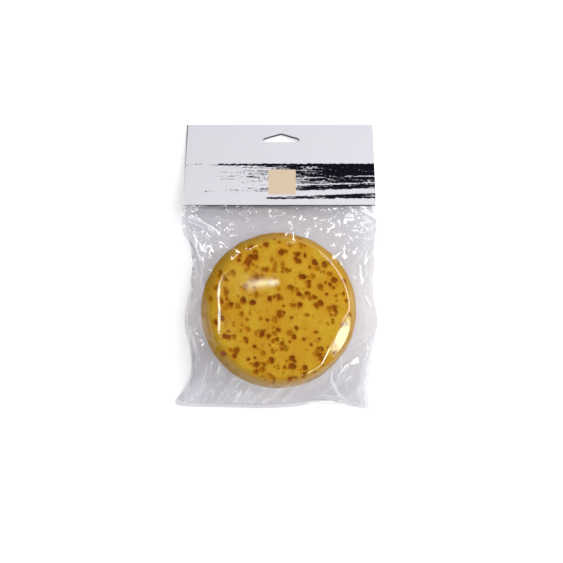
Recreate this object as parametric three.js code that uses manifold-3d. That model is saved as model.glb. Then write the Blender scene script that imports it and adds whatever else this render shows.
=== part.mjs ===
// A round foam bath sponge in its shop pack: the sponge lies in a clear film bag, and a folded
// header card with a hang hole closes the bag.
// The pack lies on its back. +Z is up and +Y runs from the bag's bottom seam to the card's fold.
// The origin is on the resting surface, under the middle of the pack. Everything is in millimetres.

import * as THREE from "three";
import { mergeVertices } from "three/addons/utils/BufferGeometryUtils.js";
import Module from "manifold-3d";

const wasm = await Module();
wasm.setup();

// Driving dimensions of the pieces.
const SPONGE = { radius: 66.5, faceRadius: 58, thickness: 40, x: -1, y: -37.5 };
const FILM = { wall: 0.4, weld: 3, slack: 0.5, tautRadius: 67 };
const CARD = { width: 164.4, height: 76, board: 0.4, tiltDegrees: 18, backShows: 1.6 };
const HOLE = { width: 32, x: 1.5, apex: 7.7, shoulder: 12, lower: 16.2 };
const PACK = { length: 252 };

// Sizes that follow from them.
const BAG_HALF_GAP = 0.2;
const CARD_HALF_GAP = FILM.wall + BAG_HALF_GAP + 0.4;
const CARD_HALF_THICKNESS = CARD_HALF_GAP + CARD.board;
const TILT = THREE.MathUtils.degToRad(CARD.tiltDegrees);
const FOLD = { y: PACK.length / 2 - CARD_HALF_THICKNESS, z: CARD_HALF_THICKNESS };
const SPONGE_BASE = FILM.wall + FILM.slack;
const SPONGE_TOP = SPONGE_BASE + SPONGE.thickness;
const FILM_TOP = SPONGE_TOP + FILM.slack + FILM.wall;

// The bag's side welds, from the card's lower edge to the bottom corners.
const LEFT_WELD = [
  [-81, 50.9, 24.8],
  [-81, 31, 22],
  [-76.5, 8, 20],
  [-81, -45, 19],
  [-77.5, -88, 16],
  [-90, -118, 8],
];
const RIGHT_WELD = [
  [81, 50.9, 24.8],
  [86, 31, 22],
  [84, -10, 20],
  [88, -47, 19],
  [79.5, -92, 15],
  [78, -125.5, 5],
];
const CARD_STATIONS = [-22, -49, -74.5];
const CREASE_STATION = -77.4;
const POUCH_ROWS = 21;
const POUCH_COLUMNS = 18;

// Pores: how many are cut in each face and round the rim, and the sizes they run between.
const PORES = { perFace: 34, round: 22, smallest: 1.1, largest: 2.6, seed: 20413 };

// Park-Miller generator, so that every build places the same pores.
function seededRandom(seed) {
  let state = seed;
  return () => {
    state = (state * 48271) % 2147483647;
    return state / 2147483647;
  };
}

function toManifold(geometry) {
  const bare = geometry.clone();
  bare.deleteAttribute("normal");
  bare.deleteAttribute("uv");
  const merged = mergeVertices(bare, 1e-4);
  const vertProperties = new Float32Array(merged.attributes.position.array);
  const triVerts = new Uint32Array(merged.index.array);
  return new wasm.Manifold(new wasm.Mesh({ numProp: 3, vertProperties, triVerts }));
}

function fromManifold(solid) {
  const mesh = solid.getMesh();
  const geometry = new THREE.BufferGeometry();
  geometry.setAttribute("position", new THREE.BufferAttribute(mesh.vertProperties, 3));
  geometry.setIndex(new THREE.BufferAttribute(mesh.triVerts, 1));
  return geometry;
}

function piece(name, geometry, colour, roughness, extra = {}) {
  geometry.computeVertexNormals();
  const material = new THREE.MeshStandardMaterial({ color: colour, roughness, metalness: 0, ...extra });
  const mesh = new THREE.Mesh(geometry, material);
  mesh.name = name;
  return mesh;
}

// ---------------------------------------------------------------- sponge

// Half of the disc's section: flat faces joined by a rim that is a half ellipse.
function spongeProfile() {
  const half = SPONGE.thickness / 2;
  const bulge = SPONGE.radius - SPONGE.faceRadius;
  const rimSteps = 10;
  const points = [new THREE.Vector2(0, -half)];
  for (let i = 0; i <= rimSteps; i++) {
    const angle = -Math.PI / 2 + (Math.PI * i) / rimSteps;
    points.push(new THREE.Vector2(SPONGE.faceRadius + bulge * Math.cos(angle), half * Math.sin(angle)));
  }
  points.push(new THREE.Vector2(0, half));
  return points;
}

// An open pore: a small faceted ball, flattened across the surface that it sinks into.
function poreTool(radius, stretch, turn, position, inwards) {
  const ball = new THREE.IcosahedronGeometry(radius, 0);
  ball.scale(stretch, 1, 0.8);
  ball.rotateZ(turn);
  const facing = new THREE.Quaternion().setFromUnitVectors(new THREE.Vector3(0, 0, 1), inwards);
  ball.applyQuaternion(facing);
  ball.translate(position.x, position.y, position.z);
  return toManifold(ball);
}

function poreTools() {
  const random = seededRandom(PORES.seed);
  const half = SPONGE.thickness / 2;
  const tools = [];
  const size = () => PORES.smallest + (PORES.largest - PORES.smallest) * random() ** 2;
  for (const side of [1, -1]) {
    for (let i = 0; i < PORES.perFace; i++) {
      const radius = (SPONGE.faceRadius - 4) * Math.sqrt(random());
      const angle = 2 * Math.PI * random();
      const at = new THREE.Vector3(radius * Math.cos(angle), radius * Math.sin(angle), side * half);
      const inwards = new THREE.Vector3(0, 0, -side);
      tools.push(poreTool(size(), 1 + 0.5 * random(), Math.PI * random(), at, inwards));
    }
  }
  for (let i = 0; i < PORES.round; i++) {
    const angle = 2 * Math.PI * random();
    const share = 1.2 * random() - 0.6;
    const radius = SPONGE.faceRadius + (SPONGE.radius - SPONGE.faceRadius) * Math.sqrt(1 - share ** 2);
    const inwards = new THREE.Vector3(-Math.cos(angle), -Math.sin(angle), 0);
    const at = inwards.clone().multiplyScalar(-radius).setZ(half * share);
    tools.push(poreTool(size(), 1 + 0.5 * random(), Math.PI * random(), at, inwards));
  }
  return tools;
}

function makeSponge() {
  const disc = new THREE.LatheGeometry(spongeProfile(), 40);
  disc.rotateX(Math.PI / 2);
  let solid = toManifold(disc);
  for (const tool of poreTools()) {
    solid = solid.subtract(tool);
  }
  const mesh = piece("sponge", fromManifold(solid), 0xc69a33, 0.95);
  mesh.position.set(SPONGE.x, SPONGE.y, SPONGE_BASE + SPONGE.thickness / 2);
  return mesh;
}

// ---------------------------------------------------------------- header card

// The delta-shaped hang hole, in the card's own plane with the fold along y = 0.
function hangHoleShape() {
  const end = HOLE.width / 2;
  const straight = 13.4;
  const endHeight = 14.2;
  const cornerLift = 12.8;
  const shape = new THREE.Shape();
  shape.moveTo(0, -HOLE.apex);
  shape.lineTo(-straight, -HOLE.shoulder);
  shape.quadraticCurveTo(-end, -cornerLift, -end, -endHeight);
  shape.quadraticCurveTo(-end, -HOLE.lower, -straight, -HOLE.lower);
  shape.lineTo(straight, -HOLE.lower);
  shape.quadraticCurveTo(end, -HOLE.lower, end, -endHeight);
  shape.quadraticCurveTo(end, -cornerLift, straight, -HOLE.shoulder);
  shape.closePath();
  return shape;
}

// The card seen from its side: two panels joined by a half-round fold.
function foldedSection() {
  const shape = new THREE.Shape();
  shape.moveTo(-CARD.height, -CARD_HALF_THICKNESS);
  shape.lineTo(0, -CARD_HALF_THICKNESS);
  shape.absarc(0, 0, CARD_HALF_THICKNESS, -Math.PI / 2, Math.PI / 2, false);
  shape.lineTo(-CARD.height, CARD_HALF_THICKNESS);
  shape.lineTo(-CARD.height, CARD_HALF_GAP);
  shape.lineTo(0, CARD_HALF_GAP);
  shape.absarc(0, 0, CARD_HALF_GAP, Math.PI / 2, -Math.PI / 2, true);
  shape.lineTo(-CARD.height, -CARD_HALF_GAP);
  shape.closePath();
  return shape;
}

function makeHeaderCard() {
  const folded = new THREE.ExtrudeGeometry(foldedSection(), {
    depth: CARD.width,
    bevelEnabled: false,
    curveSegments: 8,
  });
  const alongY = new THREE.Vector3(0, 1, 0);
  const alongZ = new THREE.Vector3(0, 0, 1);
  const alongX = new THREE.Vector3(1, 0, 0);
  folded.applyMatrix4(new THREE.Matrix4().makeBasis(alongY, alongZ, alongX));
  folded.translate(-CARD.width / 2, 0, 0);

  const punchDepth = 4 * CARD_HALF_THICKNESS;
  const punch = new THREE.ExtrudeGeometry(hangHoleShape(), {
    depth: punchDepth,
    bevelEnabled: false,
    curveSegments: 5,
  });
  punch.translate(HOLE.x, 0, -punchDepth / 2);

  // The front panel stops short of the back one on the left, where the fold ran a little out of true.
  const trim = new THREE.BoxGeometry(2 * CARD.backShows, 2 * CARD.height, CARD_HALF_THICKNESS);
  trim.rotateZ(-CARD.backShows / CARD.height);
  trim.translate(-CARD.width / 2 - CARD.backShows / 2, -CARD.height / 2, CARD_HALF_THICKNESS / 2 + 0.5);

  const solid = toManifold(folded).subtract(toManifold(punch)).subtract(toManifold(trim));
  const mesh = piece("header_card", fromManifold(solid), 0xe2e2e8, 0.45);
  mesh.rotation.x = -TILT;
  mesh.position.set(0, FOLD.y, FOLD.z);
  return mesh;
}

// ---------------------------------------------------------------- bag

// A place on the card's middle plane: across it, along it from the fold, and off it.
function cardPoint(across, along, off) {
  const y = FOLD.y + along * Math.cos(TILT) + off * Math.sin(TILT);
  const z = FOLD.z - along * Math.sin(TILT) + off * Math.cos(TILT);
  return new THREE.Vector3(across, y, z);
}

// Places across the bag: its two weld strips and the film between them.
function acrossBag() {
  const inner = 1 - (2 * FILM.weld) / CARD.width;
  const places = [0];
  for (let i = 0; i <= POUCH_COLUMNS; i++) {
    places.push(0.5 + inner * (i / POUCH_COLUMNS - 0.5));
  }
  places.push(1);
  return places;
}

// Rows of the flattened bag's middle surface, from the mouth to the bottom weld.
function middleRows() {
  const rows = [];
  const halfWidth = -LEFT_WELD[0][0];
  const places = acrossBag();
  for (const station of [...CARD_STATIONS, CREASE_STATION]) {
    rows.push(places.map((place) => cardPoint(halfWidth * (2 * place - 1), station, 0)));
  }
  const left = new THREE.CatmullRomCurve3(LEFT_WELD.map((point) => new THREE.Vector3(...point)));
  const right = new THREE.CatmullRomCurve3(RIGHT_WELD.map((point) => new THREE.Vector3(...point)));
  const weldShare = FILM.weld / left.getLength();
  for (let j = 1; j <= POUCH_ROWS; j++) {
    const along = j === POUCH_ROWS ? 1 : (j / (POUCH_ROWS - 1)) * (1 - weldShare);
    const from = left.getPointAt(along);
    const to = right.getPointAt(along);
    rows.push(places.map((place) => from.clone().lerp(to, place)));
  }
  return rows;
}

// The outline where the film starts to leave the welds, seen from the middle of the sponge.
function pouchEdge(rows, firstRow) {
  const last = rows.length - 2;
  const edge = [];
  for (let j = firstRow; j <= last; j++) {
    edge.push(rows[j][1]);
  }
  edge.push(...rows[last].slice(2, -1));
  for (let j = last - 1; j >= firstRow; j--) {
    edge.push(rows[j][rows[j].length - 2]);
  }
  return edge.map((point) => new THREE.Vector3(point.x - SPONGE.x, point.y - SPONGE.y, point.z));
}

// How far the edge is in one direction from the middle of the sponge, and how high it is there.
function edgeTowards(edge, dx, dy) {
  for (let i = 0; i < edge.length; i++) {
    const a = edge[i];
    const b = edge[(i + 1) % edge.length];
    const ex = b.x - a.x;
    const ey = b.y - a.y;
    const across = dx * ey - dy * ex;
    const reach = (a.x * ey - a.y * ex) / across;
    const share = (a.x * dy - a.y * dx) / across;
    if (reach > 0 && share >= 0 && share <= 1) {
      return { reach, height: a.z + share * (b.z - a.z) };
    }
  }
  return { reach: FILM.tautRadius * 2, height: 0 };
}

// The film lies flat over the sponge's face and runs straight from its rim down to the welds.
function filmHeight(point, edge, faceHeight, edgeOffset) {
  const dx = point.x - SPONGE.x;
  const dy = point.y - SPONGE.y;
  const radius = Math.hypot(dx, dy);
  if (radius <= FILM.tautRadius) {
    return faceHeight;
  }
  const { reach, height } = edgeTowards(edge, dx / radius, dy / radius);
  const share = Math.min(1, (radius - FILM.tautRadius) / (reach - FILM.tautRadius));
  return faceHeight + (height + edgeOffset - faceHeight) * share;
}

// Across the film at one place of a surface, towards +Z.
function acrossFilm(rows, j, i) {
  const sideways = rows[j][i + 1].clone().sub(rows[j][i - 1]);
  const down = rows[j + 1][i].clone().sub(rows[j - 1][i]);
  return down.cross(sideways).normalize();
}

// The four surfaces of the film: outside and inside of its front and back.
function filmSurfaces() {
  const rows = middleRows();
  const creaseRow = CARD_STATIONS.length;
  const edge = pouchEdge(rows, creaseRow);
  const onWeld = (j, i) => i <= 1 || i >= rows[0].length - 2 || j >= rows.length - 2;
  const cardNormal = new THREE.Vector3(0, Math.sin(TILT), Math.cos(TILT));
  const outside = (sign) =>
    rows.map((row, j) =>
      row.map((point, i) => {
        const gap = onWeld(j, i) ? 0 : BAG_HALF_GAP;
        if (j <= creaseRow) {
          return point.clone().addScaledVector(cardNormal, sign * (FILM.wall + gap));
        }
        if (onWeld(j, i)) {
          return point.clone().setZ(point.z + sign * FILM.wall);
        }
        return point.clone().setZ(filmHeight(point, edge, sign > 0 ? FILM_TOP : 0, sign * FILM.wall));
      }),
    );
  const inside = (surface, sign) =>
    surface.map((row, j) =>
      row.map((point, i) => {
        if (j <= creaseRow) {
          return point.clone().addScaledVector(cardNormal, -sign * FILM.wall);
        }
        if (onWeld(j, i)) {
          return rows[j][i].clone();
        }
        return point.clone().addScaledVector(acrossFilm(surface, j, i), -sign * FILM.wall);
      }),
    );
  const front = outside(1);
  const back = outside(-1);
  return { front, back, frontInside: inside(front, 1), backInside: inside(back, -1) };
}

function triangle(list, a, b, c) {
  for (const corner of [a, b, c]) {
    list.push(corner.x, corner.y, corner.z);
  }
}

function quad(list, a, b, c, d) {
  triangle(list, a, b, c);
  triangle(list, a, c, d);
}

// A sheet of quads over rows running towards -Y: its faces point up, or down when flipped.
// Both kinds split their quads along the same diagonal, so that two sheets stay parallel.
function sheet(list, rows, flipped) {
  for (let j = 0; j + 1 < rows.length; j++) {
    for (let i = 0; i + 1 < rows[j].length; i++) {
      const [a, b, c, d] = [rows[j][i], rows[j + 1][i], rows[j + 1][i + 1], rows[j][i + 1]];
      quad(list, ...(flipped ? [a, d, c, b] : [a, b, c, d]));
    }
  }
}

function makeBag() {
  const { front, back, frontInside, backInside } = filmSurfaces();
  const list = [];
  sheet(list, front, false);
  sheet(list, back, true);
  const insideOf = (rows) => rows.slice(0, -1).map((row) => row.slice(1, -1));
  sheet(list, insideOf(frontInside), true);
  sheet(list, insideOf(backInside), false);

  // The edges of the weld strips down both sides and along the bottom.
  const end = front[0].length - 1;
  for (let j = 0; j + 1 < front.length; j++) {
    quad(list, front[j][0], back[j][0], back[j + 1][0], front[j + 1][0]);
    quad(list, front[j][end], front[j + 1][end], back[j + 1][end], back[j][end]);
  }
  const bottom = front.length - 1;
  for (let i = 0; i < end; i++) {
    quad(list, front[bottom][i], back[bottom][i], back[bottom][i + 1], front[bottom][i + 1]);
  }

  // The cut edge round the mouth: the ends of both weld strips, then the rims of both walls.
  const firstInside = frontInside[0][1];
  triangle(list, front[0][0], front[0][1], firstInside);
  triangle(list, front[0][0], firstInside, back[0][0]);
  triangle(list, back[0][0], firstInside, back[0][1]);
  const lastInside = frontInside[0][end - 1];
  triangle(list, front[0][end - 1], front[0][end], lastInside);
  triangle(list, front[0][end], back[0][end], lastInside);
  triangle(list, back[0][end], back[0][end - 1], lastInside);
  for (let i = 1; i < end - 1; i++) {
    quad(list, front[0][i], front[0][i + 1], frontInside[0][i + 1], frontInside[0][i]);
    quad(list, backInside[0][i], backInside[0][i + 1], back[0][i + 1], back[0][i]);
  }

  const loose = new THREE.BufferGeometry();
  loose.setAttribute("position", new THREE.Float32BufferAttribute(list, 3));
  const finish = { transparent: true, opacity: 0.3, side: THREE.DoubleSide };
  return piece("bag", mergeVertices(loose, 1e-4), 0xe6e8ec, 0.12, finish);
}

const group = new THREE.Group();
group.add(makeSponge(), makeBag(), makeHeaderCard());

// The welds wander, so the pack is centred by its own box.
const box = new THREE.Box3().setFromObject(group, true);
group.position.set(-(box.min.x + box.max.x) / 2, -(box.min.y + box.max.y) / 2, -box.min.z);

export default group;
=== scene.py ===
"""A round foam bath sponge in its shop pack: clear film bag, folded header card with a hang hole.

The header card is the CAD node with a printed-board material. The sponge and the bag replace their
CAD solids: the sponge is a foam disc with real open pores, and the bag is two layers of film that a
small cloth solver wraps round it.
"""
import math

import bpy
import numpy as np
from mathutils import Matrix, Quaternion, Vector


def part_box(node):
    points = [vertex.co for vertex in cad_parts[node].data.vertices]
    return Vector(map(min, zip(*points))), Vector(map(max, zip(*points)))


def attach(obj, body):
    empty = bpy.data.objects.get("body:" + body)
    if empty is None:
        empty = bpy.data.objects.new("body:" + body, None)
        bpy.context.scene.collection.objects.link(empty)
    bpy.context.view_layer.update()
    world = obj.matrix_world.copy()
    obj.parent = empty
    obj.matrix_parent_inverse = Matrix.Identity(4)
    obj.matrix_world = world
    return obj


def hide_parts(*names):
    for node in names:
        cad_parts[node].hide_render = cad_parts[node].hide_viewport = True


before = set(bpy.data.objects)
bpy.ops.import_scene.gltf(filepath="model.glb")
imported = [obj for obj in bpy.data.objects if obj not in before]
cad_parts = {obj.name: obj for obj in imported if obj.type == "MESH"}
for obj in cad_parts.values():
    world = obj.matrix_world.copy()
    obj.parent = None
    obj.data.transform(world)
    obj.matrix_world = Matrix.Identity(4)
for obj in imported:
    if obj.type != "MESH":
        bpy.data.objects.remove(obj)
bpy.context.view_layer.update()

MM = 0.001

# Places taken from the frame.
SPONGE_LOW, SPONGE_HIGH = (np.array(corner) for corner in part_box("sponge"))
BAG_LOW, BAG_HIGH = (np.array(corner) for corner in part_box("bag"))
CARD_LOW, CARD_HIGH = (np.array(corner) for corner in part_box("header_card"))
SPONGE_MIDDLE = (SPONGE_LOW + SPONGE_HIGH) / 2
SPONGE_RADIUS = (SPONGE_HIGH[0] - SPONGE_LOW[0]) / 2
SPONGE_HALF = (SPONGE_HIGH[2] - SPONGE_LOW[2]) / 2
FACE_RADIUS = SPONGE_RADIUS - 10.5 * MM
FACE_CROWN = 0.9 * MM
# The tight film holds the sponge's top face a little over to the right.
FACE_SHIFT = np.array([2.4, 1.2]) * MM

# The header card's own plane: its fold line, its tilt and its width.
CARD_TILT = math.radians(18)
CARD_HALF_THICKNESS = 1.4 * MM
CARD_HEIGHT = 76 * MM
CARD_MIDDLE_X = (CARD_LOW[0] + CARD_HIGH[0]) / 2
CARD_HALF_WIDTH = (CARD_HIGH[0] - CARD_LOW[0]) / 2
FOLD_Y = CARD_HIGH[1] - CARD_HALF_THICKNESS
FOLD_Z = CARD_HALF_THICKNESS

BODY = "root"


# ---------------------------------------------------------------- mesh and node helpers

def mesh_object(name, points, faces, smooth=True):
    mesh = bpy.data.meshes.new(name)
    mesh.from_pydata(np.asarray(points).tolist(), [], np.asarray(faces).tolist())
    mesh.polygons.foreach_set("use_smooth", [smooth] * len(mesh.polygons))
    mesh.update()
    piece = bpy.data.objects.new(name, mesh)
    bpy.context.scene.collection.objects.link(piece)
    return piece


def add_attribute(piece, name, values):
    layer = piece.data.attributes.new(name, "FLOAT", "POINT")
    layer.data.foreach_set("value", np.asarray(values, dtype=np.float32))


class Nodes:
    """Short names for building the node tree of a material or world."""

    def __init__(self, owner):
        self.owner = owner
        owner.use_nodes = True
        self.tree = owner.node_tree
        self.tree.nodes.clear()

    def add(self, kind, **settings):
        node = self.tree.nodes.new(kind)
        for key, value in settings.items():
            setattr(node, key, value)
        return node

    def link(self, source, target):
        if isinstance(source, (int, float)):
            target.default_value = source
        else:
            self.tree.links.new(source, target)

    def math(self, operation, *values, clamp=False):
        node = self.add("ShaderNodeMath", operation=operation, use_clamp=clamp)
        for value, socket in zip(values, node.inputs):
            self.link(value, socket)
        return node.outputs[0]

    def ramp(self, value, low, high, to_low=0.0, to_high=1.0, smooth=True):
        node = self.add("ShaderNodeMapRange", clamp=True)
        node.interpolation_type = "SMOOTHSTEP" if smooth else "LINEAR"
        for source, socket in zip((value, low, high, to_low, to_high), node.inputs):
            self.link(source, socket)
        return node.outputs[0]

    def mix(self, share, first, second):
        node = self.add("ShaderNodeMix", data_type="RGBA")
        self.link(share, node.inputs[0])
        for value, socket in ((first, node.inputs[6]), (second, node.inputs[7])):
            if isinstance(value, tuple):
                socket.default_value = (*value, 1)
            else:
                self.link(value, socket)
        return node.outputs[2]

    def noise(self, vector, scale, detail=3.0, roughness=0.5, distortion=0.0):
        node = self.add("ShaderNodeTexNoise")
        self.link(vector, node.inputs["Vector"])
        node.inputs["Scale"].default_value = scale
        node.inputs["Detail"].default_value = detail
        node.inputs["Roughness"].default_value = roughness
        node.inputs["Distortion"].default_value = distortion
        return node.outputs[0]

    def stretched(self, vector, x, y, z):
        node = self.add("ShaderNodeVectorMath", operation="MULTIPLY")
        self.link(vector, node.inputs[0])
        node.inputs[1].default_value = (x, y, z)
        return node.outputs[0]

    def position(self):
        return self.add("ShaderNodeTexCoord").outputs["Object"]

    def attribute(self, name):
        return self.add("ShaderNodeAttribute", attribute_name=name).outputs["Fac"]

    def bump(self, height, strength, distance, normal=None):
        node = self.add("ShaderNodeBump")
        node.inputs["Strength"].default_value = strength
        node.inputs["Distance"].default_value = distance
        self.link(height, node.inputs["Height"])
        if normal is not None:
            self.link(normal, node.inputs["Normal"])
        return node.outputs[0]

    def finish(self, shader, output="ShaderNodeOutputMaterial"):
        self.link(shader, self.add(output).inputs["Surface"])
        return self.owner


def smoothstep(low, high, value):
    share = np.clip((value - low) / (high - low), 0, 1)
    return share * share * (3 - 2 * share)


# ---------------------------------------------------------------- sponge

SPONGE_RINGS = 126
PORE_SEED = 77
PORE_COUNTS = {"face": 600, "rim": 400, "back": 500}
PORE_SMALLEST = 0.62 * MM
PORE_RANGE = 3.0 * MM
# How high the foam's swells are, and how closely they follow each other (radians per metre).
BROAD_SWELL = {"height": 0.22 * MM, "rate": 260}
FINE_SWELL = {"height": 0.05 * MM, "rate": 1100}
RIM_SWELL = {"height": 0.30 * MM, "rate": 600}
# How far the foam may stand out, so that it stays under the film that lies on it.
SWELL_LIMIT = 0.25 * MM

# Where the tight film presses the edge of the top face flat: which way each flat looks, how far from
# the sponge's middle it starts, how steep it is, and how softly it begins.
PRESSED_FLATS = (
    {"towards": 180, "start": 51.8 * MM, "tilt": 14, "blend": 0.9 * MM},
    {"towards": -27, "start": 51.3 * MM, "tilt": 13, "blend": 0.35 * MM},
)


def ring_disc(rings):
    """A disc of rings, ring k with 6k points, so that its triangles are nearly equal.

    Returns each point's ring number and angle, and the triangles.
    """
    ring = [np.zeros(1)]
    angle = [np.zeros(1)]
    triangles = []
    for k in range(1, rings + 1):
        ring.append(np.full(6 * k, k))
        angle.append(2 * np.pi * np.arange(6 * k) / (6 * k))
    for k in range(rings):
        inner = 1 + 3 * k * (k - 1) if k else 0
        outer = 1 + 3 * k * (k + 1)
        inner_count = max(6 * k, 1)
        outer_count = 6 * (k + 1)
        for sector in range(6):
            i = np.arange(k + 1)
            a = inner + (sector * k + i) % inner_count
            b = outer + sector * (k + 1) + i
            c = outer + (sector * (k + 1) + i + 1) % outer_count
            triangles.append(np.stack([a, b, c], 1))
            d = inner + (sector * k + i[:-1] + 1) % inner_count
            triangles.append(np.stack([a[:-1], c[:-1], d], 1))
    return np.concatenate(ring), np.concatenate(angle), np.concatenate(triangles)


def half_section(share):
    """The sponge's upper half section, for share 0 at its middle to 1 at its widest.

    Returns radius, height over the middle plane, and the outward normal's two parts.
    """
    bulge = SPONGE_RADIUS - FACE_RADIUS
    turn = np.linspace(0, np.pi / 2, 200)
    rim_radius = FACE_RADIUS + bulge * np.sin(turn)
    rim_height = SPONGE_HALF * np.cos(turn)
    steps = np.hypot(np.diff(rim_radius), np.diff(rim_height))
    run = np.concatenate([[0], np.cumsum(steps)])
    along = share * (FACE_RADIUS + run[-1])
    on_rim = np.interp(along - FACE_RADIUS, run, turn)
    face = along <= FACE_RADIUS
    crown = FACE_CROWN * (1 - np.clip(along / FACE_RADIUS, 0, 1) ** 2)
    radius = np.where(face, along, FACE_RADIUS + bulge * np.sin(on_rim))
    height = np.where(face, SPONGE_HALF, SPONGE_HALF * np.cos(on_rim)) + crown
    normal_out = np.where(face, 0, np.sin(on_rim) * SPONGE_HALF)
    normal_up = np.where(face, 1, np.cos(on_rim) * bulge)
    length = np.hypot(normal_out, normal_up)
    return radius, height, normal_out / length, normal_up / length


def face_shift(height):
    """How far the sponge is pushed sideways at a height over its middle plane."""
    return np.clip(height / SPONGE_HALF, 0, 1)[:, None] ** 4 * FACE_SHIFT


def press_flat(points, clearance):
    """Lowers the points that stand over the pressed flats onto them."""
    for flat in PRESSED_FLATS:
        turn = math.radians(flat["towards"])
        away = points[:, :2] - SPONGE_MIDDLE[:2]
        beyond = away @ np.array([math.cos(turn), math.sin(turn)]) - flat["start"]
        top = SPONGE_HIGH[2] + clearance + 0.15 * FACE_CROWN
        plane = top - beyond * math.tan(math.radians(flat["tilt"]))
        blend = flat["blend"]
        share = np.clip(0.5 + 0.5 * (plane - points[:, 2]) / blend, 0, 1)
        lowered = plane + (points[:, 2] - plane) * share - blend * share * (1 - share)
        points[:, 2] = np.where(beyond > -25 * MM, lowered, points[:, 2])


def pore_places(random, counts):
    """Centres, radii and depths of the open pores, with some of them in clusters."""
    pores = []
    wide = FACE_RADIUS * 0.99
    for part, count in counts.items():
        made = 0
        while made < count:
            size = PORE_SMALLEST + PORE_RANGE * random.random() ** 2.0
            if part == "rim":
                turn = np.pi * random.random()
                out = FACE_RADIUS + (SPONGE_RADIUS - FACE_RADIUS) * np.sin(turn)
                height = SPONGE_HALF * np.cos(turn)
            else:
                out = wide * np.sqrt(random.random())
                height = SPONGE_HALF if part == "face" else -SPONGE_HALF
            angle = 2 * np.pi * random.random()
            centre = np.array([out * np.cos(angle), out * np.sin(angle), height])
            cluster = 1 + int(3.2 * random.random() ** 4)
            for _ in range(cluster):
                pores.append((centre.copy(), size, size * (0.35 + 0.75 * random.random()), random.random()))
                centre[:2] += 1.5 * size * random.normal(size=2) * 0.75
                size = size * (0.55 + 0.45 * random.random())
                made += 1
    return pores


def waves(points, scale, random, count=6):
    """Smooth noise: a sum of sine waves in seeded directions, about -1 to 1."""
    total = np.zeros(len(points))
    for _ in range(count):
        direction = random.normal(size=3)
        direction *= scale / np.linalg.norm(direction) * (0.6 + 0.8 * random.random())
        total += np.sin(points @ direction + 2 * np.pi * random.random())
    return total / np.sqrt(count / 2) / 2


def sponge_surface():
    """The smooth disc's points, its outward normals and its triangles, round the sponge's middle."""
    ring, angle, triangles = ring_disc(SPONGE_RINGS)
    radius, height, out, up = half_section(ring / SPONGE_RINGS)
    cos, sin = np.cos(angle), np.sin(angle)
    top = np.stack([radius * cos, radius * sin, height], 1)
    top_normal = np.stack([out * cos, out * sin, up], 1)
    flip = np.array([1, 1, -1])
    seam = ring == SPONGE_RINGS
    points = np.concatenate([top, top[~seam] * flip])
    normals = np.concatenate([top_normal, top_normal[~seam] * flip])
    below = np.where(seam, np.arange(len(top)), 0)
    below[~seam] = len(top) + np.arange(np.count_nonzero(~seam))
    return points, normals, np.concatenate([triangles, below[triangles][:, ::-1]])


def make_sponge():
    """The foam disc, with its pores sunk into it and marked with painted shade that varies from pore to
    pore, and painted shade on its rounded side.
    """
    random = np.random.default_rng(PORE_SEED)
    points, normals, triangles = sponge_surface()
    ragged = waves(points, 1500, random)
    fine = waves(points, 3600, random)
    depth = np.zeros(len(points))
    tone = np.zeros(len(points))
    rim_of_pore = np.zeros(len(points))
    side = smoothstep(0.93 * FACE_RADIUS, 0.98 * SPONGE_RADIUS, np.hypot(*points[:, :2].T))
    for centre, size, deep, dark in pore_places(random, PORE_COUNTS):
        stretch = 1 + 0.4 * random.random() ** 1.5
        turn = np.pi * random.random()
        away = points - centre
        near = np.nonzero(np.abs(away).max(1) < 2.2 * size)[0]
        away = away[near]
        sideways = away[:, 0] * np.cos(turn) + away[:, 1] * np.sin(turn)
        distance = np.sqrt((away ** 2).sum(1) + (stretch ** 2 - 1) * sideways ** 2) / size
        distance *= 1 + 0.20 * ragged[near] + 0.08 * fine[near]
        pit = 1 - smoothstep(0.45, 1.0, distance)
        depth[near] = np.maximum(depth[near], deep * pit)
        # Painted shade in the pore, reaching a little past its pit.
        pit_shade = 1 - smoothstep(0.55, 1.05, distance)
        strength = (0.32 + 0.68 * dark) * min(1, 0.40 + size / (2.8 * MM))
        tone[near] = np.maximum(tone[near], pit_shade * strength)
        edge = 1 - smoothstep(0.9, 1.9, distance)
        rim_of_pore[near] = np.maximum(rim_of_pore[near], edge * strength)
    swell = BROAD_SWELL["height"] * waves(points, BROAD_SWELL["rate"], random)
    swell += FINE_SWELL["height"] * waves(points, FINE_SWELL["rate"], random)
    swell += RIM_SWELL["height"] * side * waves(points, RIM_SWELL["rate"], random)
    swell = np.minimum(swell, SWELL_LIMIT)
    shift = face_shift(points[:, 2])
    points = points + normals * (swell - depth)[:, None]
    points[:, :2] += shift
    points = points + SPONGE_MIDDLE
    press_flat(points, 0.0)
    # The sponge's own weight keeps its back flat.
    points[:, 2] = np.maximum(points[:, 2], SPONGE_LOW[2])
    piece = mesh_object("foam_sponge", points, triangles)
    # The rounded side is marked for painted shade, darker than the face.
    add_attribute(piece, "side_shade", side)
    add_attribute(piece, "pore_shade", tone)
    add_attribute(piece, "pore_rim", rim_of_pore)
    return piece


SKIN_COLOURS = ((0.80, 0.435, 0.023), (0.83, 0.525, 0.031))
# Painted shade on the rounded side.
SIDE_SHADE_COLOUR = (0.58, 0.32, 0.014)
# The pores' painted shade, from orange to dark brown.
PORE_SHADE_COLOURS = ((0.60, 0.265, 0.003), (0.38, 0.100, 0.001))


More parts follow.
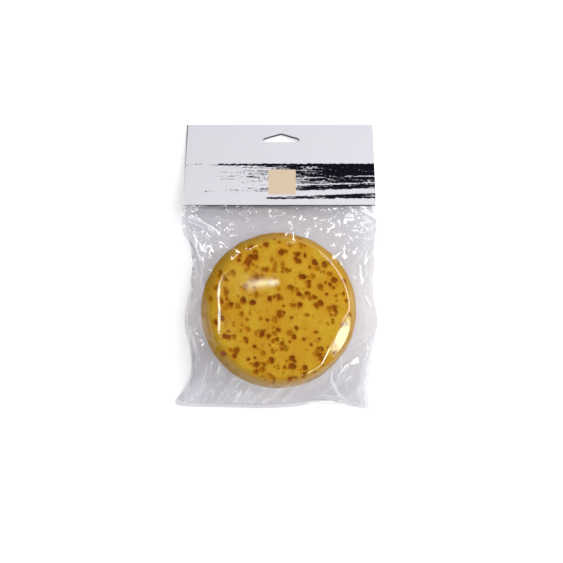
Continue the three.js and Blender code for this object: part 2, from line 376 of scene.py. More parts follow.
def foam_material():
    """Matt foam: a mottled yellow skin with fine cells, painted shade in its pores and tiny pits, orange to
    brown, and painted shade on its rounded side.
    """
    n = Nodes(bpy.data.materials.new("open_cell_foam"))
    place = n.position()
    tone = n.attribute("pore_shade")
    rim = n.attribute("pore_rim")
    mottle = n.noise(place, 55, 3)
    grain = n.noise(place, 900, 2, 0.6)
    cells = n.add("ShaderNodeTexVoronoi", feature="DISTANCE_TO_EDGE")
    cells.inputs["Scale"].default_value = 1250
    n.link(place, cells.inputs["Vector"])
    wall = n.ramp(cells.outputs["Distance"], 0.02, 0.25)

    skin = n.mix(n.ramp(mottle, 0.38, 0.62), *SKIN_COLOURS)
    skin = n.mix(n.ramp(grain, 0.36, 0.66, 0.0, 0.30), skin, (0.62, 0.30, 0.014))
    # Tiny pits, finer than the mesh, get painted shade as well as a bump.
    speck = n.noise(place, 330, 2, 0.55)
    tiny_pore = n.ramp(speck, 0.62, 0.70)
    skin = n.mix(n.math("MULTIPLY", tiny_pore, 0.45), skin, (0.52, 0.22, 0.006))
    skin = n.mix(n.math("MULTIPLY", rim, 0.45), skin, (0.66, 0.27, 0.010))
    # Painted shade on the sponge's rounded side.
    skin = n.mix(n.attribute("side_shade"), skin, SIDE_SHADE_COLOUR)
    # The pores' painted shade runs from orange to dark brown.
    inside = n.mix(n.ramp(tone, 0.35, 0.95), *PORE_SHADE_COLOURS)
    colour = n.mix(n.ramp(tone, 0.05, 0.45), skin, inside)

    shader = n.add("ShaderNodeBsdfPrincipled")
    n.link(colour, shader.inputs["Base Color"])
    shader.inputs["Roughness"].default_value = 0.92
    shader.inputs["Specular IOR Level"].default_value = 0.10
    height = n.math("SUBTRACT", n.math("MULTIPLY", wall, 0.5), n.math("MULTIPLY", tiny_pore, 2.0))
    height = n.math("ADD", height, n.math("MULTIPLY", grain, 0.8))
    n.link(n.bump(height, 0.5, 0.15 * MM), shader.inputs["Normal"])
    return n.finish(shader.outputs[0])


# ---------------------------------------------------------------- film bag

# The bag's welded edges, from the card's lower corner down to the bottom corner, in millimetres:
# how far down the bag, how far inside the bag's box, and how high above the surface.
LEFT_EDGE = [
    (0, 6.5, 24.8), (20, 6.8, 22), (33, 12.5, 21), (48, 14, 20), (71, 12, 20), (94, 8, 19),
    (107, 9, 18), (124, 12.8, 17), (148, 11.2, 13), (169.5, -2.5, 6),
]
RIGHT_EDGE = [
    (0, 6.5, 24.8), (16, 1.6, 22), (32, 3.6, 21), (71, 5, 20), (97, 0.6, 19), (110, 2.6, 18),
    (126, 6.8, 17), (138, 9, 15), (156, 11, 10), (178.0, 9.0, 4),
]
# The bottom edge between its corners: how far across, and how far down the bag and how high.
BOTTOM_EDGE = [
    (0.04, 173.5, 6), (0.26, 174.6, 6), (0.47, 175, 8), (0.64, 173, 9), (0.73, 169.4, 9), (0.85, 171.5, 7),
]

WELD = 3 * MM
CREASE_Y = FOLD_Y - (CARD_HEIGHT + 1.0 * MM) * math.cos(CARD_TILT)
CREASE_Z = FOLD_Z + (CARD_HEIGHT + 1.0 * MM) * math.sin(CARD_TILT)
MOUTH_STATION = 22 * MM
FILM_GAP = 0.15 * MM
FILM_CLEARANCE = 0.45 * MM

# The flat size of the film between its welds, for the front and the back of the bag, and how much
# narrower it is gathered at the card.
FILM_WIDTH = (175.0 * MM, 174.5 * MM)
FILM_LENGTH = (185.0 * MM, 178.0 * MM)
GATHERED_WIDTH = 160.5 * MM
FILM_SEED = 5
FILM_RISE = 24 * MM
COARSE_GRID = (38, 42)
STEPS_PER_LEVEL = (500, 350, 90)
STIFFNESS_PER_LEVEL = (0.35, 0.3, 0.3)
# The finished front has this many cells across and down, and the back has half as many.
FINE_GRID = (260, 290)

# The creases that show most: how wide and how high each is, then the points that it runs through.
# All are in millimetres, and the points are measured from the middle of the sponge.
CREASES = (
    # Upper left corner.
    (0.9, 0.55, (-67, 82), (-74, 75), (-68, 62), (-63, 53)),
    (0.8, 0.45, (-63, 54), (-62.5, 40), (-62, 28)),
    (0.9, 0.50, (-71, 70), (-61, 65), (-55, 58)),
    (0.8, 0.35, (-72, 48), (-69, 41), (-67, 34)),
    # Between the card and the sponge.
    (1.3, 0.70, (-45, 66), (-41, 70), (-33, 71)),
    (1.7, 1.20, (-25, 89), (-28, 85), (-31, 80)),
    (1.2, 0.75, (-26, 84), (-21, 83), (-18, 86), (-13, 84)),
    (1.4, 1.00, (0, 90), (-1.5, 86), (2, 80)),
    (1.2, 0.80, (6, 90), (3.5, 84)),
    (1.1, 0.55, (-44, 85), (-34, 82)),
    (1.0, -0.50, (-69, 80), (-51, 79), (-31, 75), (-4, 71)),
    (1.1, 0.60, (-1, 80), (-4, 77), (-14, 78)),
    (1.2, 0.70, (5.5, 82), (8, 78), (12, 79)),
    (1.0, 0.65, (13.5, 67), (15, 71), (17, 66)),
    (0.8, 0.30, (16, 85), (28, 83)),
    (1.3, 0.85, (43, 90), (49, 85)),
    (0.8, 0.45, (64, 87), (70, 89)),
    (0.8, 0.35, (-41, 57), (-38, 52)),
    (0.8, 0.40, (38, 76), (42, 75)),
    # Upper right corner.
    (1.0, 0.55, (46, 66), (53, 65.5), (59, 66)),
    (1.0, 0.60, (59, 66), (57, 60), (56, 56)),
    (1.0, 0.60, (78, 83), (73, 77), (66, 71), (62, 69)),
    (0.9, 0.45, (57, 57), (66, 63), (73, 66)),
    (0.9, 0.55, (79, 76), (77, 68), (76, 61)),
    (0.9, 0.60, (82, 74), (79, 63), (73, 49)),
    (0.9, 0.45, (78, 58), (80, 40), (79, 22)),
    # Down the left side and the lower left corner.
    (0.8, 0.50, (-67, 6), (-73, 0), (-78, -5)),
    (0.9, 0.45, (-74, -3), (-69, -12), (-65, -22)),
    (0.8, 0.50, (-62, -34), (-59, -45), (-58, -60)),
    (1.0, 0.45, (-58, -60), (-64, -66), (-71, -73)),
    (1.0, -0.40, (-64, -50), (-67, -64)),
    (1.2, 0.55, (-58, -81), (-48, -80), (-40, -78)),
    (1.1, 0.50, (-39, -82), (-32, -77)),
    # Lower right corner and the right side.
    (0.9, 0.60, (66, -42), (51, -57), (43, -66), (34, -77)),
    (0.8, 0.45, (63, -37), (70, -41)),
    (0.9, 0.45, (81, -12), (79, -24), (76, -46), (73, -66)),
    (0.8, 0.35, (69, -50), (71, -61)),
    (0.9, 0.35, (46, -78), (63, -76)),
    (1.0, -0.35, (54, -38), (49, -52)),
    # Short puckers where the film turns over the sponge's edge.
    (0.7, 0.40, (-27, 58), (-25.5, 54), (-26, 50)),
    (0.7, 0.35, (7, 58), (10, 55)),
    (0.7, 0.40, (-52, -35), (-48, -37), (-50, -41), (-46, -43)),
    (0.7, 0.45, (21, -51), (26, -53), (28, -56), (24, -59)),
)

# The small crinkles all over the loose film: sharp-edged folds of a few lengths, in millimetres.
CRINKLE_LENGTHS = (23, 15, 10, 7)
CRINKLE_HEIGHT = 0.022
SMALL_CREASES = 120


def catmull_rom(a, b, c, d, share):
    """The smooth curve between b and c, whose neighbours are a and d."""
    return 0.5 * (2 * b + (c - a) * share + (2 * a - 5 * b + 4 * c - d) * share ** 2
                  + (3 * b - a - 3 * c + d) * share ** 3)


def resampled(grid, axis, count):
    """The grid with this many points along the axis, on smooth curves through its own."""
    grid = np.moveaxis(grid, axis, 0)
    padded = np.concatenate([2 * grid[:1] - grid[1:2], grid, 2 * grid[-1:] - grid[-2:-1]])
    at = np.linspace(0, len(grid) - 1, count)
    cell = np.minimum(at.astype(int), len(grid) - 2)
    share = (at - cell).reshape(-1, *[1] * (grid.ndim - 1))
    curves = catmull_rom(*(padded[cell + k] for k in range(4)), share)
    return np.ascontiguousarray(np.moveaxis(curves, 0, axis))


def curve_through(points, count):
    """A smooth curve through the points, sampled at even lengths."""
    curve = resampled(np.array(points, float), 0, 40 * len(points))
    run = np.concatenate([[0], np.cumsum(np.linalg.norm(np.diff(curve, axis=0), axis=1))])
    at = np.linspace(0, run[-1], count + 1)
    return np.stack([np.interp(at, run, curve[:, axis]) for axis in range(3)], 1)


def bag_outline(columns, rows):
    """The outer edge of the bag's left, right and bottom welds."""
    left = [(BAG_LOW[0] + inset * MM, CREASE_Y - down * MM, up * MM) for down, inset, up in LEFT_EDGE]
    right = [(BAG_HIGH[0] - inset * MM, CREASE_Y - down * MM, up * MM) for down, inset, up in RIGHT_EDGE]
    bottom = [left[-1]]
    for across, down, up in BOTTOM_EDGE:
        x = left[-1][0] + across * (right[-1][0] - left[-1][0])
        bottom.append((x, CREASE_Y - down * MM, up * MM))
    bottom.append(right[-1])
    return curve_through(left, rows), curve_through(right, rows), curve_through(bottom, columns)


def flat_pouch(columns, rows, inset):
    """A smooth grid that fills the bag's outline, pulled in from its welds by inset."""
    left, right, bottom = bag_outline(columns, rows)
    left = left + np.array([inset, 0, 0])
    right = right - np.array([inset, 0, 0])
    down = np.linspace(0, 1, rows + 1)[:, None, None]
    across = np.linspace(0, 1, columns + 1)[None, :, None]
    grid = left[:, None] * (1 - across) + right[:, None] * across
    straight = left[-1] * (1 - across[0]) + right[-1] * across[0]
    drawn = bottom + np.array([0, inset, 0])
    drawn[:, 0] = straight[:, 0]
    return grid + (drawn - straight)[None] * down ** 6


def push_off_sponge(points, on_top):
    """Moves the points that are inside the sponge out to its surface."""
    away = points - SPONGE_MIDDLE
    away[:, :2] -= face_shift(away[:, 2])
    radius = np.hypot(away[:, 0], away[:, 1])
    over = np.maximum(radius - FACE_RADIUS, 0)
    bulge = SPONGE_RADIUS - FACE_RADIUS + FILM_CLEARANCE
    half = SPONGE_HALF + FILM_CLEARANCE + FACE_CROWN * np.clip(1 - (radius / FACE_RADIUS) ** 2, 0, 1)
    depth = (over / bulge) ** 2 + (away[:, 2] / half) ** 2
    face = (depth < 1) & (over == 0)
    points[face, 2] = SPONGE_MIDDLE[2] + (half[face] if on_top else -SPONGE_HALF - FILM_CLEARANCE)
    rim = (depth < 1) & (over > 0)
    grow = 1 / np.sqrt(np.maximum(depth[rim], 1e-6))
    points[rim, 2] = SPONGE_MIDDLE[2] + away[rim, 2] * grow
    outwards = ((FACE_RADIUS + over[rim] * grow) / radius[rim])[:, None]
    points[rim, :2] += away[rim, :2] * (outwards - 1)


def grid_links(shape, step_across, step_down):
    """Two groups of links between grid points, so that no point is in two links of one group."""
    rows, columns = shape
    numbers = np.arange(rows * columns).reshape(shape)
    low = max(0, -step_across)
    high = columns - max(0, step_across)
    first = numbers[:rows - step_down, low:high]
    second = numbers[step_down:, low + step_across:high + step_across]
    if step_across:
        turn = (np.arange(columns) // abs(step_across) % 2)[low:high]
        return [(first[:, turn == side].ravel(), second[:, turn == side].ravel()) for side in (0, 1)]
    turn = (np.arange(rows) // step_down % 2)[:rows - step_down]
    return [(first[turn == side].ravel(), second[turn == side].ravel()) for side in (0, 1)]


def film_links(flat, free, bending):
    """The links that keep a film its flat size, and weaker ones that resist folding it."""
    shape = free.shape
    places = flat.reshape(-1, 2)
    weight = free.ravel().astype(float)
    links = []
    for across, down, stiffness in ((1, 0, 1.0), (0, 1, 1.0), (1, 1, 0.5), (-1, 1, 0.5),
                                    (2, 0, bending), (0, 2, bending)):
        folds = abs(across) == 2 or down == 2
        for a, b in grid_links(shape, across, down):
            keep = weight[a] + weight[b] > 0
            a, b = a[keep], b[keep]
            rest = np.linalg.norm(places[a] - places[b], axis=1)
            share = stiffness / (weight[a] + weight[b])
            links.append((a, b, rest, weight[a] * share, weight[b] * share, folds))
    return links


def relax(sheets, flats, free, steps, bending):
    """Lets both sheets of film settle round the sponge, with their welded edges held."""
    links = [film_links(flat, free, bending) for flat in flats]
    speed = np.zeros_like(sheets)
    loose = free[None, :, :, None]
    for _ in range(steps):
        before = sheets.copy()
        sheets += speed * loose
        for side in (0, 1):
            points = sheets[side].reshape(-1, 3)
            for a, b, rest, share_a, share_b, folds in links[side]:
                between = points[b] - points[a]
                length = np.sqrt((between ** 2).sum(1)) + 1e-12
                stretch = (length - rest) / length
                if folds:
                    stretch = np.minimum(stretch, 0)
                between *= stretch[:, None]
                points[a] += between * share_a[:, None]
                points[b] -= between * share_b[:, None]
            push_off_sponge(points, side == 0)
        keep_layers_apart(sheets, free)
        speed = 0.85 * (sheets - before)
    return sheets


def keep_layers_apart(sheets, free):
    """Keeps the back sheet above the surface it lies on and the front sheet above the back."""
    height = sheets[:, :, :, 2]
    floor = 0.05 * MM
    np.maximum(height[1], floor, out=height[1])
    crossed = free & (height[0] < height[1] + FILM_GAP)
    middle = (height[0] + height[1]) / 2
    height[0][crossed] = middle[crossed] + FILM_GAP / 2
    height[1][crossed] = np.maximum(middle[crossed] - FILM_GAP / 2, floor)


def flat_film(shape, width, length):
    """Where each grid point lies on the flat film, gathered at the card."""
    down = np.linspace(0, 1, shape[0])[:, None]
    across = np.linspace(-0.5, 0.5, shape[1])[None]
    gathered = GATHERED_WIDTH + (width - GATHERED_WIDTH) * smoothstep(0, 0.3, down)
    return np.stack([across * gathered, -down * length + 0 * across], 2)


def settled_film():
    """The front and back of the bag after the film has settled, as two grids of points.

    It starts pulled apart, like a pouch, and settles on a coarse grid, then on finer ones.
    """
    columns, rows = COARSE_GRID
    levels = len(STEPS_PER_LEVEL) - 0
    random = np.random.default_rng(FILM_SEED)
    base = flat_pouch(columns, rows, WELD)
    down = np.linspace(0, 1, rows + 1)[:, None]
    across = np.linspace(0, 1, columns + 1)[None]
    rise = FILM_RISE * np.minimum(1, 12 * across * (1 - across)) * np.minimum(1, 8 * down * (1 - down))
    sheets = np.stack([base, base])
    sheets[0, :, :, 2] += rise + random.normal(0, 0.2 * MM, rise.shape)
    sheets[1, :, :, 2] += random.normal(0, 0.2 * MM, rise.shape) - rise
    for level in range(levels):
        if level:
            rows, columns = 2 * rows, 2 * columns
            sheets = resampled(resampled(sheets, 1, rows + 1), 2, columns + 1)
        free = np.zeros(sheets.shape[1:3], bool)
        free[1:-1, 1:-1] = True
        flats = [flat_film(free.shape, *size) for size in zip(FILM_WIDTH, FILM_LENGTH)]
        sheets = relax(sheets, flats, free, STEPS_PER_LEVEL[level], STIFFNESS_PER_LEVEL[level])
    columns, rows = FINE_GRID
    return resampled(resampled(sheets, 1, rows + 1), 2, columns + 1)


def crease_height(places, width, height, *route):
    """How far a crease lifts each place: a round ridge along its route, fading at both ends."""
    route = np.array(route, float)
    steps = np.linalg.norm(np.diff(route, axis=0), axis=1)
    start = 0.0
    lift = np.zeros(len(places))
    for a, b, step in zip(route[:-1], route[1:], steps):
        along = np.clip((places - a) @ (b - a) / step ** 2, 0, 1)
        off = np.linalg.norm(places - a - along[:, None] * (b - a), axis=1)
        share = (start + along * step) / steps.sum()
        fade = np.minimum(1, 6 * share * (1 - share))
        lift = np.maximum(lift, np.exp(-(off / width) ** 2) * fade)
        start += step
    return height * lift


def zigzag(value):
    """A wave of straight slopes with sharp turns, between -1 and 1."""
    return 4 * np.abs(value - np.floor(value + 0.5)) - 1


def crinkles(places, random):
    """Straight-sided folds of several lengths in seeded directions, bent by slow waves."""
    total = np.zeros(len(places))
    for length in CRINKLE_LENGTHS:
        for _ in range(3):
            turn = 2 * np.pi * random.random()
            bend = 0.25 * np.sin(places @ random.normal(size=2) / (1.3 * length) + 6.3 * random.random())
            along = places @ np.array([np.cos(turn), np.sin(turn)]) / length
            total += length * zigzag(along + bend + random.random())
    return CRINKLE_HEIGHT * total / 3


def crease_film(sheets):
    """Adds the creases and crinkles to the front, and fainter crinkles to the back."""
    random = np.random.default_rng(FILM_SEED)
    rows, columns = sheets.shape[1:3]
    row = np.arange(rows)[:, None]
    column = np.arange(columns)[None]
    from_edge = np.minimum(np.minimum(row, rows - 1 - row), np.minimum(column, columns - 1 - column))
    held = np.clip(from_edge / 5, 0, 1)
    for side, strength in ((0, 1.0), (1, 0.4)):
        places = (sheets[side, :, :, :2] - SPONGE_MIDDLE[:2]).reshape(-1, 2) / MM
        loose = smoothstep(58, 72, np.hypot(*places.T))
        lift = strength * loose * crinkles(places, random)
        if side == 0:
            for crease in CREASES:
                lift += crease_height(places, *crease)
            for _ in range(SMALL_CREASES):
                lift += small_crease(places, random)
        sheets[side, :, :, 2] += lift.reshape(rows, columns) * held * MM
    front = sheets[0].reshape(-1, 3)
    draw_taut(front)
    push_off_sponge(front, True)
    press_flat(front, FILM_CLEARANCE)
    keep_layers_apart(sheets, from_edge > 0)
    return sheets


def draw_taut(points):
    """Lays the front film smoothly on the sponge's top face."""
    away = points[:, :2] - SPONGE_MIDDLE[:2] - FACE_SHIFT
    radius = np.hypot(*away.T)
    on_face = SPONGE_HIGH[2] + FILM_CLEARANCE + FACE_CROWN * np.clip(1 - (radius / FACE_RADIUS) ** 2, 0, 1)
    share = 1 - smoothstep(0.80 * FACE_RADIUS, 0.99 * FACE_RADIUS, radius)
    points[:, 2] += share * (on_face - points[:, 2])


def small_crease(places, random):
    """A short crease at a seeded place on the loose film, mostly pointing at the sponge."""
    turn = 2 * np.pi * random.random()
    radius = 68 + 45 * random.random()
    middle = radius * np.array([np.cos(turn), np.sin(turn)])
    turn += random.normal() * 0.6
    half = (1.5 + 5 * random.random() ** 2) * np.array([np.cos(turn), np.sin(turn)])
    height = 0.15 + 0.3 * random.random()
    return crease_height(places, 0.75 + 0.4 * random.random(), height, middle - half, middle + half)


def card_place(across, station, off):
    """A place on the header card's middle plane: across it, down it from the fold, and off it."""
    y = FOLD_Y - station * math.cos(CARD_TILT) + off * math.sin(CARD_TILT)
    z = FOLD_Z + station * math.sin(CARD_TILT) + off * math.cos(CARD_TILT)
    return np.array([across, y, z])


def grid_faces(numbers, turned=False):
    quads = np.stack([numbers[:-1, :-1], numbers[1:, :-1], numbers[1:, 1:], numbers[:-1, 1:]], 2)
    quads = quads.reshape(-1, 4)
    return quads[:, ::-1] if turned else quads


def make_bag():
    """Front and back sheets that share their welded edges, the weld strips, and the tucked-in mouth."""
    sheets = crease_film(settled_film())
    rows, columns = sheets.shape[1:3]
    front = np.arange(rows * columns).reshape(rows, columns)
    back = front[::2, ::2] + rows * columns
    back[:, 0] = front[::2, 0]
    back[:, -1] = front[::2, -1]
    back[-1] = front[-1, ::2]
    points = list(sheets.reshape(-1, 3))
    weld = [0.0] * len(points)

    def add(place, welded):
        points.append(place)
        weld.append(welded)
        return len(points) - 1

    left, right, bottom = bag_outline(columns - 1, rows - 1)
    outer_left = [add(place, 1.0) for place in left]
    outer_right = [add(place, 1.0) for place in right]
    bottom_middle = [add(place, 1.0) for place in bottom[1:-1]]
    outer_bottom = [outer_left[-1], *bottom_middle, outer_right[-1]]
    faces = [grid_faces(front), grid_faces(back)]
    faces.append(grid_faces(np.stack([outer_left, front[:, 0]], 1)))
    faces.append(grid_faces(np.stack([front[:, -1], outer_right], 1)))
    faces.append(grid_faces(np.stack([front[-1], outer_bottom])))

    stations = np.linspace(MOUTH_STATION, CARD_HEIGHT, 4)
    for numbers, side in ((front, 1), (back, -1)):
        tucked = [
            [add(card_place(points[k][0], station, side * 0.3 * MM), 0.0) for k in numbers[0]]
            for station in stations
        ]
        faces.append(grid_faces(np.vstack([tucked, numbers[:1]])))
    # The back uses only every second point of its grid, so the points left over are dropped.
    used = np.concatenate(faces)
    keep = np.unique(used)
    renumber = np.zeros(len(points), int)
    renumber[keep] = np.arange(len(keep))
    piece = mesh_object("film_bag", np.array(points)[keep], renumber[used])
    add_attribute(piece, "weld", np.array(weld)[keep])
    # The card's painted shadow on the film, just under its lower edge.
    add_attribute(piece, "card_shadow", card_shadow_share(np.array(points)[keep]))
    return piece


# How far below the card its painted shadow reaches on the film.
CARD_SHADOW_REACH = 3.2 * MM


def card_shadow_share(points):
    """How much painted shadow of the card the film gets at each point: most just under the card, more on
    its left.
    """
    below_card = CREASE_Y - points[:, 1]
    across = (points[:, 0] - CARD_MIDDLE_X) / CARD_HALF_WIDTH
    reach = CARD_SHADOW_REACH * (1 + 0.25 * np.sin(9 * across) + 0.15 * np.sin(31 * across + 1))
    depth = 1 - smoothstep(0.1, 1.0, below_card / reach)
    return depth * (0.62 - 0.30 * smoothstep(-0.2, 0.6, across)) * smoothstep(-1.0, -0.72, across)


# What one layer of the film lets through: plain, where it is welded, and where the card's shadow is painted
# on it.
FILM_TINT = (0.818, 0.817, 0.842)
WELD_TINT = (0.775, 0.775, 0.800)
CARD_SHADOW_TINT = (0.50, 0.485, 0.51)
# How much the film mirrors seen square on, and how much more at a grazing angle.
GLOSS_SQUARE_ON = 0.065
GLOSS_AT_GRAZING = 0.75


def film_material():
    """Clear film: tinted see-through plastic that mirrors more at a slant."""
    n = Nodes(bpy.data.materials.new("clear_film"))
    place = n.position()
    weld = n.attribute("weld")
    card_shadow = n.attribute("card_shadow")
    clear = n.add("ShaderNodeBsdfTransparent")
    # A painted shadow of the card darkens the film just under it.
    n.link(n.mix(card_shadow, n.mix(weld, FILM_TINT, WELD_TINT), CARD_SHADOW_TINT), clear.inputs["Color"])
    gloss = n.add("ShaderNodeBsdfGlossy")
    gloss.inputs["Color"].default_value = (1, 1, 1, 1)
    smudge = n.noise(place, 60, 3)
    n.link(n.ramp(smudge, 0.3, 0.75, 0.04, 0.11), gloss.inputs["Roughness"])
    ripple = n.noise(place, 230, 3, 0.5, 0.4)
    n.link(n.bump(ripple, 0.05, 0.25 * MM), gloss.inputs["Normal"])
    slant = n.add("ShaderNodeLayerWeight")
    slant.inputs["Blend"].default_value = 0.5
    grazing = n.math("POWER", slant.outputs["Facing"], 3.5)
    share = n.math("MULTIPLY_ADD", grazing, GLOSS_AT_GRAZING, GLOSS_SQUARE_ON, clamp=True)
    mixed = n.add("ShaderNodeMixShader")
    n.link(share, mixed.inputs[0])
    n.link(clear.outputs[0], mixed.inputs[1])
    n.link(gloss.outputs[0], mixed.inputs[2])
    return n.finish(mixed.outputs[0])


# ---------------------------------------------------------------- header card

# The print on the card: x runs across from the card's middle, and down from the fold.
BAND_TOP = 37.0 * MM
SWATCH = {"x": 2.2 * MM, "down": 54.6 * MM, "half": 11.8 * MM}
INK = (0.0022, 0.0025, 0.0070)
BOARD = (0.575, 0.570, 0.608)
SWATCH_COLOUR = (0.565, 0.455, 0.325)
BOARD_CORE = (0.40, 0.40, 0.42)
# Painted shade for the gap between the panels and for the hang hole's walls.
SLIT_AND_HOLE_SHADE = (0.05, 0.05, 0.06)
# The room round the hang hole, whose walls get painted shade: how far across, and from where to where down
# from the fold.
HOLE_HALF_WIDTH = 20 * MM
HOLE_TOP, HOLE_BOTTOM = 4 * MM, 26 * MM


def card_places(n):
    """Where a point is on the card: across it, down it from the fold, and off its middle plane."""
    parts = n.add("ShaderNodeSeparateXYZ")
    n.link(n.position(), parts.inputs[0])
    across, y, z = parts.outputs
    x = n.math("SUBTRACT", across, float(CARD_MIDDLE_X))
    cos, sin = math.cos(CARD_TILT), math.sin(CARD_TILT)
    y_part = n.math("MULTIPLY_ADD", y, -cos, float(FOLD_Y) * cos)
    down = n.math("ADD", y_part, n.math("MULTIPLY_ADD", z, sin, -float(FOLD_Z) * sin))
    z_part = n.math("MULTIPLY_ADD", z, cos, -float(FOLD_Z) * cos)
    off = n.math("ADD", z_part, n.math("MULTIPLY_ADD", y, sin, -float(FOLD_Y) * sin))
    return x, down, off


def brushed_ink(n, x, down):
    """Cover of a dry-brushed band, full on the right and breaking up to the left."""
    flat = n.add("ShaderNodeCombineXYZ")
    n.link(x, flat.inputs[0])
    n.link(down, flat.inputs[1])
    flat = flat.outputs[0]
    bristles = n.noise(n.stretched(flat, 55, 1050, 0), 1, 4, 0.6, 0.25)
    blotches = n.noise(n.stretched(flat, 420, 700, 0), 1, 4, 0.65)
    texture = n.math("MULTIPLY_ADD", bristles, 0.60, n.math("MULTIPLY", blotches, 0.40))
    ragged = n.noise(n.stretched(flat, 330, 90, 0), 1, 3)
    edge = n.math("ADD", down, n.math("MULTIPLY_ADD", ragged, 2.4 * MM, -1.2 * MM))
    from_top = n.math("SUBTRACT", edge, BAND_TOP)
    slanted = n.math("MULTIPLY_ADD", x, 0.035, from_top)

    def streak(value, middle, half, amount):
        off = n.math("ABSOLUTE", n.math("SUBTRACT", value, middle * MM))
        return n.ramp(off, 0.0, half * MM, amount, 0.0)

    dryness = n.ramp(x, -78 * MM, -8 * MM, 0.655, 0.500, smooth=False)
    for change in (
        n.ramp(x, -8 * MM, 45 * MM, 0.0, -0.115, smooth=False),
        streak(from_top, 1.2, 1.8, -0.13),
        streak(slanted, 14.6, 1.0, 0.10),
        n.ramp(slanted, 14.5 * MM, 17 * MM, 0.0, 0.045),
        streak(slanted, 21.0, 1.0, 0.14),
        streak(slanted, 24.2, 2.0, -0.07),
    ):
        dryness = n.math("ADD", dryness, change)
    cover = n.ramp(n.math("SUBTRACT", texture, dryness), -0.008, 0.012)
    inside = n.math("MULTIPLY", n.ramp(from_top, 0.0, 0.25 * MM),
                    n.ramp(slanted, 26.2 * MM, 26.6 * MM, 1.0, 0.0))
    band = n.math("MULTIPLY", cover, inside)

    # A second, thinner stroke under the band, rising and growing to the right.
    middle = n.math("MULTIPLY_ADD", x, -0.027, 69.6 * MM)
    half_width = n.ramp(x, -12 * MM, 80 * MM, 0.9 * MM, 2.5 * MM, smooth=False)
    share = n.math("DIVIDE", n.math("ABSOLUTE", n.math("SUBTRACT", edge, middle)), half_width)
    stroke = n.math("MULTIPLY", n.ramp(share, 0.85, 1.05, 1.0, 0.0), n.ramp(texture, 0.415, 0.44))
    stroke = n.math("MULTIPLY", stroke, n.ramp(x, -13 * MM, -9 * MM))
    return n.math("MAXIMUM", band, stroke)


def card_material():
    """White board, grey inside, with painted shade for the gap between its panels and in the hang hole, and
    a dry-brushed dark band and a plain beige swatch on its front.
    """
    n = Nodes(bpy.data.materials.new("printed_board"))
    x, down, off = card_places(n)
    on_front = n.math("GREATER_THAN", off, CARD_HALF_THICKNESS - 0.05 * MM)
    ink = n.math("MULTIPLY", brushed_ink(n, x, down), on_front)
    across = n.math("ABSOLUTE", n.math("SUBTRACT", x, SWATCH["x"]))
    along = n.math("ABSOLUTE", n.math("SUBTRACT", down, SWATCH["down"]))
    in_square = n.math("LESS_THAN", n.math("MAXIMUM", across, along), SWATCH["half"])
    swatch = n.math("MULTIPLY", in_square, on_front)

    fibre = n.noise(n.position(), 1800, 3, 0.6)
    board = n.mix(n.ramp(fibre, 0.3, 0.7), BOARD, tuple(value * 1.03 for value in BOARD))
    # The edges show the grey core of the two panels, with painted shade for the gap between them, and the
    # inside of the hang hole has painted shade.
    depth = n.math("ABSOLUTE", off)
    edge = n.math("LESS_THAN", depth, CARD_HALF_THICKNESS - 0.25 * MM)
    slit_shade = n.math("MULTIPLY", n.math("LESS_THAN", depth, 0.40 * MM), n.math("GREATER_THAN", down, 1.0 * MM))
    hole_wall_shade = n.math("LESS_THAN", n.math("ABSOLUTE", x), HOLE_HALF_WIDTH)
    hole_wall_shade = n.math("MULTIPLY", hole_wall_shade, n.math("GREATER_THAN", down, HOLE_TOP))
    hole_wall_shade = n.math("MULTIPLY", hole_wall_shade, n.math("LESS_THAN", down, HOLE_BOTTOM))
    board = n.mix(edge, board, n.mix(n.math("MAXIMUM", slit_shade, hole_wall_shade), BOARD_CORE, SLIT_AND_HOLE_SHADE))
    colour = n.mix(ink, board, INK)
    colour = n.mix(swatch, colour, SWATCH_COLOUR)

    shader = n.add("ShaderNodeBsdfPrincipled")
    n.link(colour, shader.inputs["Base Color"])
    n.link(n.ramp(ink, 0, 1, 0.50, 0.42), shader.inputs["Roughness"])
    shader.inputs["Specular IOR Level"].default_value = 0.04
    n.link(n.bump(fibre, 0.15, 0.05 * MM), shader.inputs["Normal"])
    return n.finish(shader.outputs[0])


# ---------------------------------------------------------------- stage, lights and camera

CAMERA_PLACE = (2.7 * MM, -12.9 * MM, 693 * MM)
FLOOR_HALF = 6.0
# The place that the lights face: the middle of the sponge's face.
LIT_PLACE = Vector((0, -0.035, 0.041))
# The faintly green white that the lights mirrored over the sponge have.
PALE = (0.84, 1.0, 0.80)


def floor_material():
    n = Nodes(bpy.data.materials.new("pale_floor"))
    shader = n.add("ShaderNodeBsdfPrincipled")
    speckle = n.noise(n.position(), 40, 2)
    n.link(n.mix(speckle, (0.90, 0.90, 0.90), (0.92, 0.92, 0.92)), shader.inputs["Base Color"])
    shader.inputs["Roughness"].default_value = 0.9
    shader.inputs["Specular IOR Level"].default_value = 0.1
    # A faint glow, as of a light table, keeps the pale floor free of grey shadows. It grows with
    # distance, where the lights no longer reach.
    away = n.add("ShaderNodeVectorMath", operation="LENGTH")
    n.link(n.position(), away.inputs[0])
    shader.inputs["Emission Color"].default_value = (1, 1, 1, 1)
    n.link(n.ramp(away.outputs["Value"], 0.45, 2.4, 0.22, 0.85), shader.inputs["Emission Strength"])
    return n.finish(shader.outputs[0])


def make_floor():
    corners = [(x * FLOOR_HALF, y * FLOOR_HALF, 0) for x, y in ((-1, -1), (1, -1), (1, 1), (-1, 1))]
    floor = mesh_object("floor", corners, [(0, 1, 2, 3)], smooth=False)
    floor.data.materials.append(floor_material())


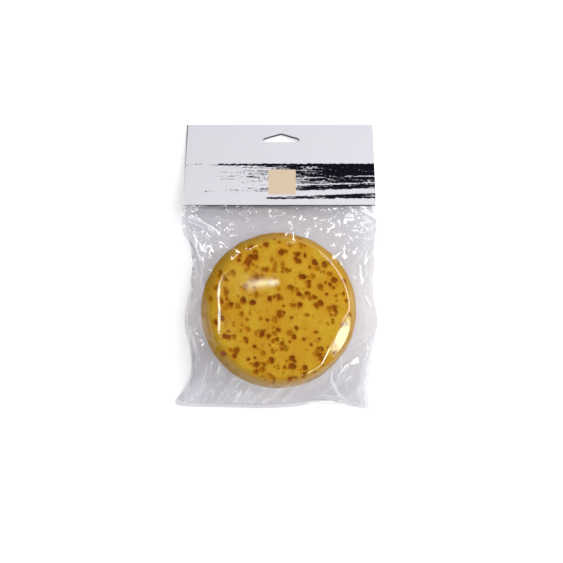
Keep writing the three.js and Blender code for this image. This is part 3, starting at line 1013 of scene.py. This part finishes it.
def softbox(name, towards, from_zenith, distance, width, depth, radiance, shows=True, shades=True, spin=0,
            colour=(1, 1, 1)):
    """A rectangular soft light round the pack, which it faces.

    Its place is given by the direction, the angle from straight up and the distance. Width is how far
    it reaches sideways. Radiance is how bright its surface looks. A light that shows is mirrored in
    glossy surfaces, and one that shades lights the matt ones. Spin turns it about its own axis.
    """
    lamp = bpy.data.lights.new(name, "AREA")
    lamp.shape = "RECTANGLE"
    lamp.size = width
    lamp.size_y = depth
    lamp.energy = radiance * width * depth * math.pi
    lamp.color = colour
    light = bpy.data.objects.new(name, lamp)
    turn, lean = math.radians(towards), math.radians(from_zenith)
    direction = Vector((math.sin(lean) * math.cos(turn), math.sin(lean) * math.sin(turn), math.cos(lean)))
    light.location = LIT_PLACE + distance * direction
    facing = direction.to_track_quat("Z", "Y") @ Quaternion((0, 0, 1), math.radians(spin))
    light.rotation_euler = facing.to_euler()
    light.visible_camera = False
    light.visible_glossy = shows
    light.visible_diffuse = shades
    bpy.context.scene.collection.objects.link(light)


def make_lights():
    """Two broad lights shade the pack, and smaller ones are only mirrored in its film."""
    softbox("key", 30, 42, 1.1, 0.8, 0.8, 4.4, shows=False)
    softbox("ceiling", 90, 4, 1.2, 0.9, 0.9, 3.4, shows=False)
    # The streak, the two side lines, the patch and the lower line on the sponge's face.
    softbox("small_overhead", 141, 4.7, 0.72, 0.075, 0.009, 17.0, shades=False, spin=-46, colour=PALE)
    softbox("left_strip", 180, 15, 0.80, 0.17, 0.09, 11.0, shades=False, colour=PALE)
    softbox("right_panel", 12, 27, 0.80, 0.46, 0.22, 7.0, shades=False)
    softbox("window", -29, 35.3, 0.83, 0.055, 0.055, 14.0, shades=False, spin=35, colour=PALE)
    softbox("lower_right_line", -54, 28, 0.83, 0.28, 0.06, 20.0, shades=False, colour=PALE)
    # The glints on the creases between the card and the sponge.
    softbox("top_left_spot", 116, 27, 0.85, 0.07, 0.14, 12.0, shades=False)
    softbox("top_right_spot", 80, 27, 0.85, 0.05, 0.12, 12.0, shades=False)
    softbox("left_glints", 138, 52, 0.85, 0.22, 0.10, 13.0, shades=False)
    softbox("right_glints", 48, 50, 0.85, 0.18, 0.09, 13.0, shades=False)
    softbox("low_left_glints", 118, 68, 0.85, 0.16, 0.14, 13.0, shades=False)
    softbox("low_right_glints", 79, 66, 0.85, 0.06, 0.12, 13.0, shades=False)
    # The sheen on the film's outer slopes.
    softbox("far_left", 185, 60, 0.9, 0.5, 0.05, 4.0, shades=False)
    softbox("far_right", -5, 60, 0.9, 0.5, 0.05, 4.0, shades=False)


def make_world():
    """A pale cove: bright round the horizon, dark overhead, and brighter and whiter on the right."""
    n = Nodes(bpy.data.worlds.new("studio"))
    parts = n.add("ShaderNodeSeparateXYZ")
    n.link(n.add("ShaderNodeTexCoord").outputs["Generated"], parts.inputs[0])
    sideways, _, upwards = parts.outputs
    height = n.ramp(upwards, 0.10, 0.80, 1.00, 0.03, smooth=False)
    right = n.ramp(sideways, -0.9, 0.6, smooth=False)
    background = n.add("ShaderNodeBackground")
    n.link(n.mix(right, (0.90, 0.88, 1.0), (1, 1, 1)), background.inputs["Color"])
    strength = n.math("MULTIPLY", height, n.math("MULTIPLY_ADD", right, 0.32, 0.76))
    n.link(strength, background.inputs["Strength"])
    bpy.context.scene.world = n.finish(background.outputs[0], "ShaderNodeOutputWorld")


def make_camera():
    data = bpy.data.cameras.new("camera")
    data.lens = 50
    data.sensor_width = 36
    camera = bpy.data.objects.new("camera", data)
    camera.location = CAMERA_PLACE
    bpy.context.scene.collection.objects.link(camera)
    bpy.context.scene.camera = camera


# ---------------------------------------------------------------- the scene

sponge = make_sponge()
sponge.data.materials.append(foam_material())
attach(sponge, BODY)
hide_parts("sponge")

bag = make_bag()
bag.data.materials.append(film_material())
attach(bag, BODY)
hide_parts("bag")

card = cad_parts["header_card"]
card.data.materials[0] = card_material()

make_floor()
make_lights()
make_world()
make_camera()
bpy.context.scene.view_settings.view_transform = "Standard"
bpy.context.scene.cycles.transparent_max_bounces = 24
